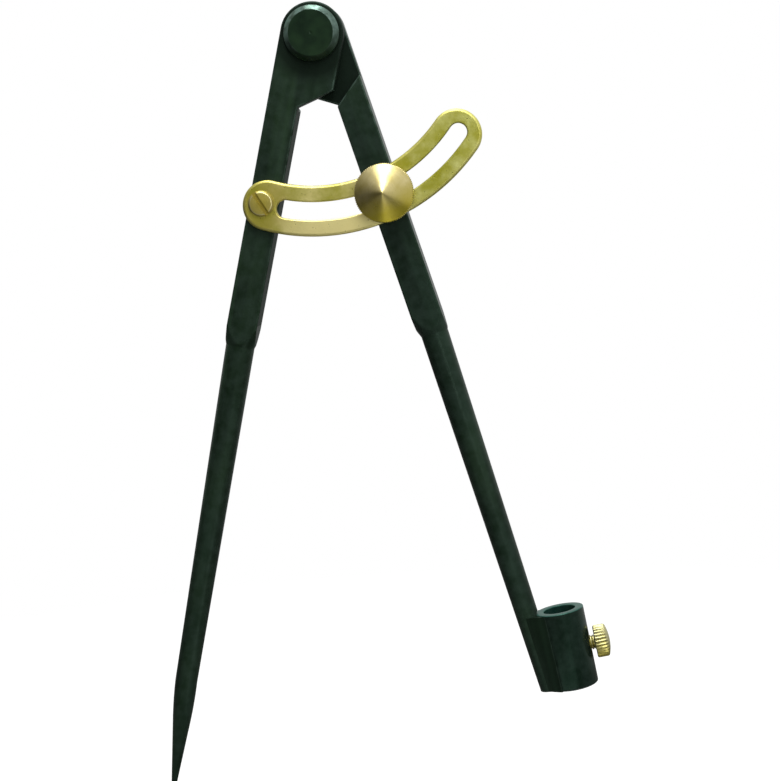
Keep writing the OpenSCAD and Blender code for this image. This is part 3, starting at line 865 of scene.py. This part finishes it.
# Painted highlight: the chamfer's worn mark rises from bottom to top, so its top is painted lighter where the
# light from above falls.
for vert in rivet.verts:
    chamfer = RIVET_EDGE - 0.1 < vert.co.z < RIVET_H - HAIR and vert.co.xy.length > RIVET_FLAT_R - 0.15
    rub_and_top_light = min(1.0, max(LEAST_RUB_AND_LIGHT, MIDDLE_RUB_AND_LIGHT + vert.co.y / RUB_AND_LIGHT_REACH))
    vert[worn] = rub_and_top_light if chamfer else 0.0
bmesh.ops.translate(rivet, vec=(0, 0, FRONT), verts=rivet.verts)
tail_side = [(TAIL_R, TAIL_BASE), (TAIL_R, TAIL_EDGE), (TAIL_FLAT_R, TAIL_END)]
tail = turned([(0, TAIL_BASE), *tail_side, (0, TAIL_END)])
soften(tail, corner(tail, TAIL_R, TAIL_EDGE) + corner(tail, TAIL_FLAT_R, TAIL_END), TAIL_ROUND, 4)
spare = bpy.data.meshes.new("rivet_tail")
tail.to_mesh(spare)
tail.free()
rivet.from_mesh(spare)
bpy.data.meshes.remove(spare)
keep(rivet, "faced_rivet", face_front, "point_side", rivet_steel, "hinge_rivet")

# %% [markdown]
# ## The wing
#
# The wing is part of a ring about the hinge with a slot along its middle. It
# could be a thickened curve, but the slot would then have to be cut out. Both
# outlines are drawn instead by turning a point: along the outer edge, round the
# end, back along the inner edge and round the other end. The space between them
# is bridged and pulled up to the sheet's thickness. The tumbling stones hardly
# reach into the slot, so its edges are rounded less than the outer ones.

# %% The band of the wing
WING_HALF, SLOT_HALF, END_WALL, END_SHIFT = 6.5, 2.3, 3.5, 1.7
SLOT_SPARE, STOP_GAP, WIDEST = 2.8, 0.4, math.radians(60.8)
ARC_STEPS, END_STEPS = 140, 36
slot_start = HOLE_TURN - SLOT_SPARE / WING_R
slot_end = WIDEST + HOLE_TURN + STOP_GAP / WING_R
wing_start = END_SHIFT / WING_R - HOLE_TURN
wing_end = slot_end + (SLOT_HALF + END_WALL - WING_HALF) / WING_R


def on_arc(radius, turn):
    """A spot at a radius from the hinge, turned from straight down."""
    return Vector((radius * math.sin(turn), -radius * math.cos(turn), 0))


def from_slot(spot):
    """How far a spot on the wing is from the slot's middle line."""
    turn = min(max(math.atan2(spot.x, -spot.y), slot_start), slot_end)
    return (Vector((spot.x, spot.y, 0)) - on_arc(WING_R, turn)).length


def band(bm, half_width, start, end):
    """Draws a round-ended band about the hinge and gives back its edges."""
    before = set(bm.edges)
    tip = bm.verts.new(on_arc(WING_R + half_width, start))
    first = tip
    swings = (
        (Vector(), end - start, ARC_STEPS), (on_arc(WING_R, end), math.pi, END_STEPS),
        (Vector(), start - end, ARC_STEPS), (on_arc(WING_R, start), math.pi, END_STEPS),
    )
    for centre, angle, steps in swings:
        swung = bmesh.ops.spin(bm, geom=[tip], cent=centre, axis=(0, 0, 1), angle=angle, steps=steps)
        tip = only(bmesh.types.BMVert, swung["geom_last"])[0]
    bmesh.ops.pointmerge(bm, verts=[first, tip], merge_co=first.co)
    return [e for e in bm.edges if e not in before]


print("the slot runs through", round(math.degrees(slot_end - slot_start), 1), "degrees")

# %% Piece: wing
OUTER_ROUND, SLOT_ROUND, SLOT_WEAR = 0.8, 0.4, 0.3
wing = fresh()
outline = band(wing, WING_HALF, wing_start, wing_end)
slot = band(wing, SLOT_HALF, slot_start, slot_end)
bmesh.ops.bridge_loops(wing, edges=outline + slot)
sheet = bmesh.ops.extrude_face_region(wing, geom=wing.faces[:])["geom"]
bmesh.ops.translate(wing, vec=(0, 0, WING_T), verts=only(bmesh.types.BMVert, sheet))
edges = sharp_edges(wing)
slot_edges = [e for e in edges if all(from_slot(v.co) < SLOT_HALF + 0.1 for v in e.verts)]
soften(wing, [e for e in edges if e not in slot_edges], OUTER_ROUND, 7)
soften(wing, slot_edges, SLOT_ROUND, 5)
worn = wing.verts.layers.float["worn"]
for vert in wing.verts:
    if from_slot(vert.co) < SLOT_HALF + 0.7:
        vert[worn] *= SLOT_WEAR
bmesh.ops.translate(wing, vec=(0, 0, FRONT), verts=wing.verts)
keep(wing, "tumbled_wing", swing_point @ face_front, "point_side", wing_brass, "wing")

# %% [markdown]
# ## The screw in the wing
#
# A low cheese-head screw holds the wing to the point leg. Its head is turned,
# and its slot is then sawn across, with a boolean cut as the saw. Drawing the
# slot into the turned mesh would need edges that a lathe does not leave.

# %% Piece: wing screw
SCREW_FLAT_R, SCREW_EDGE, SCREW_RIM, SCREW_H, SCREW_ROUND = 2.85, 0.62, 1.06, 1.1, 0.16
SAW_LEN, SAW_WIDTH, SAW_DEPTH, SAW_TURN = 12, 1.1, 0.75, math.radians(-45)
head = [(0, -SUNK), (SCREW_R, -SUNK), (SCREW_R, SCREW_EDGE), (SCREW_FLAT_R, SCREW_RIM), (0, SCREW_H)]
screw = turned(head, 96)
broken = corner(screw, SCREW_R, SCREW_EDGE) + corner(screw, SCREW_FLAT_R, SCREW_RIM)
soften(screw, broken, SCREW_ROUND, 4)
saw = bmesh.new()
bmesh.ops.create_cube(saw, size=1)
bmesh.ops.scale(saw, vec=(SAW_LEN, SAW_WIDTH, 2 * SAW_DEPTH), verts=saw.verts)
bmesh.ops.rotate(saw, matrix=Matrix.Rotation(SAW_TURN, 3, "Z"), verts=saw.verts)
bmesh.ops.translate(saw, vec=(0, 0, SCREW_H), verts=saw.verts)
screw = cut_from(screw, saw)
keep(screw, "slotted_screw", screw_place, "point_side", screw_brass, "wing_screw")

# %% [markdown]
# ## The cone nut
#
# The nut's rim is knurled with fine straight teeth, and its face is turned to a
# low cone. The teeth could be bump in the finish, but they show in the outline,
# so every other point of the rim is pressed in. The lathe tool leaves shallow
# rings on the cone. They are drawn as a ripple along the section, because they
# spread the light into wedges from the tip.

# %% Piece: clamp nut
RINGS, RING_POINTS, RING_DEPTH = 36, 4, 0.008
NUT_R, TEETH, TOOTH_DEPTH = 7.6, 92, 0.2
NUT_BORE_R, NUT_BORE_H = 1.85, 5.35
rim_corner, tip = Vector((7.42, 2.55)), Vector((0.42, 7.71))
square_to_cone = (tip - rim_corner).orthogonal().normalized()
cone = []
for i in range(RING_POINTS * RINGS + 1):
    ripple = RING_DEPTH * math.sin(2 * math.pi * i / RING_POINTS)
    cone.append(rim_corner.lerp(tip, i / (RING_POINTS * RINGS)) + square_to_cone * ripple)
hole = [(0, NUT_BORE_H), (NUT_BORE_R, NUT_BORE_H), (NUT_BORE_R, 0)]
rim = [(NUT_R - 0.3, 0), (NUT_R, 0.22), (NUT_R, 2.3)]
blunt_tip = [(0.2, 7.82), (0, 7.84)]
nut = turned(hole + rim + cone + blunt_tip, 2 * TEETH)
for vert in nut.verts:
    place = round(math.atan2(vert.co.y, vert.co.x) / (math.pi / TEETH))
    if vert.co.xy.length > NUT_R - 0.25 and place % 2:
        vert.co.xy *= 1 - TOOTH_DEPTH / NUT_R
keep(nut, "knurled_cone_nut", nut_place, "clamp_nut_body", nut_brass, "clamp_nut")

# %% [markdown]
# ## The thumbscrew
#
# The head has 28 straight ridges cut by a knurling wheel, and a domed end. The
# ridges could be boxes set round a disc, but a wheel leaves rounded ones. So the
# head is turned with eight points to a ridge, and a wave presses the valleys in.

# %% Piece: thumbscrew head
RIDGES, RIDGE_DEPTH, RIDGE_POINTS = 28, 0.36, 8
THUMB_R, THUMB_H, DOME_R = 4.25, 3.9, 11.65
STEM_R, SOCKET_H = 1.55, 2.65
dome = [(r, THUMB_H - DOME_R + math.sqrt(DOME_R**2 - r * r)) for r in (3.6, 3, 2, 1, 0)]
socket = [(0, SOCKET_H), (STEM_R, SOCKET_H), (STEM_R, 0)]
rim = [(THUMB_R - 0.3, 0), (THUMB_R, 0.25), (THUMB_R, 2.8), (THUMB_R - 0.2, 3.14)]
thumb = turned(socket + rim + dome, RIDGES * RIDGE_POINTS)
for vert in thumb.verts:
    if vert.co.xy.length > THUMB_R - 0.35:
        ridge = 0.5 + 0.5 * math.cos(RIDGES * math.atan2(vert.co.y, vert.co.x))
        vert.co.xy *= 1 - RIDGE_DEPTH * (1 - ridge**0.7) / THUMB_R
keep(
    thumb, "ridged_thumbscrew", thumb_place, "thumbscrew_head", thumb_brass,
    "pencil_screw_head",
)

# %% [markdown]
# ## The thumbscrew's stem
#
# A thread is one groove that winds along as it goes round. Rings side by side
# would look much the same, but would not lead anywhere. One section of the
# groove is swung round and along at once, and the two ends are closed.

# %% Piece: thumbscrew stem
PITCH, TURNS, TURN_STEPS, CREST_R = 0.7, 4, 48, 1.95
STEM_IN = 3.15
groove = [(STEM_R, 0), (CREST_R, 0.3), (CREST_R, 0.42), (STEM_R, PITCH)]
stem = fresh()
chain = [stem.verts.new((r, 0, h)) for r, h in groove]
chain += [stem.edges.new(pair) for pair in zip(chain, chain[1:])]
bmesh.ops.spin(
    stem, geom=chain, cent=(0, 0, 0), axis=(0, 0, 1), dvec=(0, 0, PITCH / TURN_STEPS),
    angle=2 * math.pi * TURNS, steps=TURN_STEPS * TURNS,
)
bmesh.ops.remove_doubles(stem, verts=stem.verts, dist=0.002)
bmesh.ops.holes_fill(stem, edges=[e for e in stem.edges if e.is_boundary])
bmesh.ops.translate(stem, vec=(0, 0, -STEM_IN), verts=stem.verts)
print("open edges at the stem's ends:", sum(e.is_boundary for e in stem.edges))
keep(
    stem, "threaded_stem", thumb_place, "thumbscrew_stem", thumb_brass, "pencil_screw_stem"
)

# %% [markdown]
# ## Pieces that stay as measured
#
# The burr, the stud and the washer under the nut are plain turned shapes, and
# hardly show. They could be drawn again, but nothing would be gained. They keep
# their measured form and take a finish.

# %% Finishes for the measured pieces
plain_finishes = {"hinge_washer": rivet_steel, "clamp_stud": screw_brass, "clamp_washer": screw_brass}
for node, finish in plain_finishes.items():
    part = frame["nodes"][node]
    part.data.materials.clear()
    part.data.materials.append(finish)
    print(node, "takes", finish.name)

# %% [markdown]
# ## Floor
#
# The compass stands in front of plain white. A white floor would throw light up
# under the dark steel and wash it out. So the floor is grey to the lamps and
# white to the camera: where the camera looks, most of it glows, and the rest
# still takes the shadow. Metal that mirrors the far part of the floor sees half
# of that glow.

# %% What the background shows to whom
MIRRORED = 0.5


def background_seen(wire, behind):
    """One for rays that look at the background: the camera's, and in part what metal mirrors of it."""
    seen = wire.add("ShaderNodeLightPath", out="Is Camera Ray")
    mirrored = wire.add("ShaderNodeLightPath", out="Is Glossy Ray")
    through = wire.add("ShaderNodeLightPath", out="Is Transmission Ray")
    return seen.most((mirrored + through) * behind * MIRRORED)


def stage_prop(name, bm, finish):
    """Sets up something that belongs to the studio and not to the compass."""
    mesh = bpy.data.meshes.new(name)
    bm.to_mesh(mesh)
    bm.free()
    mesh.materials.append(finish)
    prop = bpy.data.objects.new(name, mesh)
    bpy.context.scene.collection.objects.link(prop)
    print(name, "is", [round(d, 3) for d in prop.dimensions], "m")


print("metal mirrors", MIRRORED, "of the background")

# %% Floor
FLOOR_R, FLOOR_LEVEL = 0.3, -0.2036
GLOW, SHADOW_SHARE = 1.05, 0.3
paper, shader, here = new_finish("white_paper", Roughness=0.9, Specular_IOR_Level=0.1)
grey = noise(here, 8).blend("5c5c5a", "646462")
to_camera = here.add("ShaderNodeLightPath", out="Is Camera Ray")
join(shader, Base_Color=to_camera.blend(grey, "f3f3f1"))
far_behind = along(here, "Y").fit(0.15, 0.3)
near_rim = distance(here).fit(0.25, 0.34)
share = background_seen(here, far_behind) * (1 - SHADOW_SHARE + near_rim * SHADOW_SHARE)
glow = here.add("ShaderNodeEmission", {}, {"Color": (1, 1, 1, 1), "Strength": GLOW})
lit = Wire(here.tree, shader.outputs[0])
ground = here.add("ShaderNodeMixShader", {}, {0: share, 1: lit, 2: glow})
here.tree.links.new(ground.socket, here.tree.nodes["Material Output"].inputs["Surface"])
disc = bmesh.new()
bmesh.ops.create_circle(
    disc, cap_ends=True, segments=96, radius=FLOOR_R, matrix=Matrix.Translation((0, 0, FLOOR_LEVEL))
)
stage_prop("floor", disc, paper)

# %% [markdown]
# ## A white card
#
# A strip of white card on the floor throws light up on the lower half of the
# cone nut. A lamp there would do it too, but would leave a hard spot on the
# cone.

# %% Card
CARD_WIDTH, CARD_LEN, CARD_TURN = 0.04, 0.2, math.radians(45)
CARD_PLACE = (0.058, -0.118, FLOOR_LEVEL + 0.0002)
white_card, shader, here = new_finish("white_card", Roughness=0.9, Specular_IOR_Level=0.1)
join(shader, Base_Color=noise(here, 12).blend("f3f3f1", "f7f7f5"))
strip = bmesh.new()
bmesh.ops.create_grid(strip, x_segments=1, y_segments=1, size=0.5)
bmesh.ops.scale(strip, vec=(CARD_WIDTH, CARD_LEN, 1), verts=strip.verts)
bmesh.ops.rotate(strip, matrix=Matrix.Rotation(CARD_TURN, 3, "Z"), verts=strip.verts)
bmesh.ops.translate(strip, vec=CARD_PLACE, verts=strip.verts)
stage_prop("card", strip, white_card)

# %% [markdown]
# ## The room
#
# Polished metal shows the room that it stands in. A photographed room would
# need an image, so this one is made of slopes: dim below, brighter above and to
# the right, and plain white where the camera looks straight at it.

# %% Room light
ROOM, TO_RIGHT, TO_LEFT, ABOVE = 0.22, 0.5, 0.18, 0.55
world = bpy.data.worlds.new("studio")
bpy.context.scene.world = world
world.use_nodes = True
way = Wire(world.node_tree).add("ShaderNodeTexCoord", out="Generated")
across, depth, rise = [along(way, axis) for axis in "XYZ"]
room = ROOM + across.fit(0, 1) * TO_RIGHT - across.fit(0, -1) * TO_LEFT + rise.fit(0, 1) * ABOVE
seen = background_seen(way, depth.fit(0.3, 0.6) * rise.fit(-0.03, 0.0))
light = room * (1 - seen) + seen
sky = world.node_tree.nodes["Background"]
world.node_tree.links.new(light.socket, sky.inputs["Strength"])
sky.inputs["Color"].default_value = (1, 1, 1, 1)
print("the room gives", ROOM, "below and", round(ROOM + ABOVE, 2), "above")

# %% [markdown]
# ## Softboxes
#
# The light is soft and comes from above. A long box hangs over the compass and
# draws the bright wedge on the cone and the light along the rounded edges. A
# smaller key box stands in front and above, a weak wide card fills the front,
# and a narrow window to the right gives the round legs their streak. Point lamps
# would leave dots on every edge.


# %% Lamps
def softbox(name, place, aim, width, depth, power):
    """A lamp with a square face at a place, turned to an aim. Lengths are in metres."""
    data = bpy.data.lights.new(name, "AREA")
    data.shape, data.size, data.size_y, data.energy = "RECTANGLE", width, depth, power
    box = bpy.data.objects.new(name, data)
    box.location = place
    box.rotation_euler = (Vector(aim) - Vector(place)).to_track_quat("-Z", "Y").to_euler()
    bpy.context.scene.collection.objects.link(box)
    print(name, "gives", power, "W")


softbox("overhead", (0.0, -0.05, 0.5), (0.0, -0.04, 0.0), width=0.27, depth=0.6, power=3.5)
softbox("key", (0.12, -0.42, 0.45), (0.0, 0.0, -0.08), width=0.25, depth=0.25, power=1.6)
softbox("front_card", (0.14, -0.98, -0.04), (0.02, 0.0, -0.09), width=0.8, depth=0.3, power=0.38)
softbox("right_window", (0.37, -0.82, 0.07), (0.0, 0.0, -0.09), width=0.1, depth=0.5, power=0.8)

# %% [markdown]
# ## Camera
#
# The camera looks from a little to the right and above, and is rolled a little,
# as in the photograph. It could be made to track an empty, but the roll is
# easier to say by turning its own right and up about the line of sight.

# %% Camera
AZIMUTH, ELEVATION, ROLL = math.radians(5.02), math.radians(5.90), math.radians(-4.18)
CAMERA_AWAY, LENS, SENSOR = 0.4689, 82.92, 36
aim = Vector((0.01298, 0, -0.09278))
right = Vector((math.cos(AZIMUTH), math.sin(AZIMUTH), 0))
flat_back = Vector((math.sin(AZIMUTH), -math.cos(AZIMUTH), 0))
back = flat_back * math.cos(ELEVATION) + Vector((0, 0, math.sin(ELEVATION)))
up = back.cross(right)
turned_right = right * math.cos(ROLL) + up * math.sin(ROLL)
turned_up = up * math.cos(ROLL) - right * math.sin(ROLL)
facing = Matrix((turned_right, turned_up, back)).transposed().to_4x4()
lens = bpy.data.cameras.new("photo_camera")
lens.sensor_fit, lens.sensor_width, lens.lens = "HORIZONTAL", SENSOR, LENS
lens.clip_start = 0.01
camera = bpy.data.objects.new("photo_camera", lens)
camera.matrix_world = Matrix.Translation(aim + back * CAMERA_AWAY) @ facing
bpy.context.scene.collection.objects.link(camera)
bpy.context.scene.camera = camera
bpy.context.scene.view_settings.view_transform = "Standard"
print("camera at:", [round(c, 4) for c in camera.matrix_world.translation])
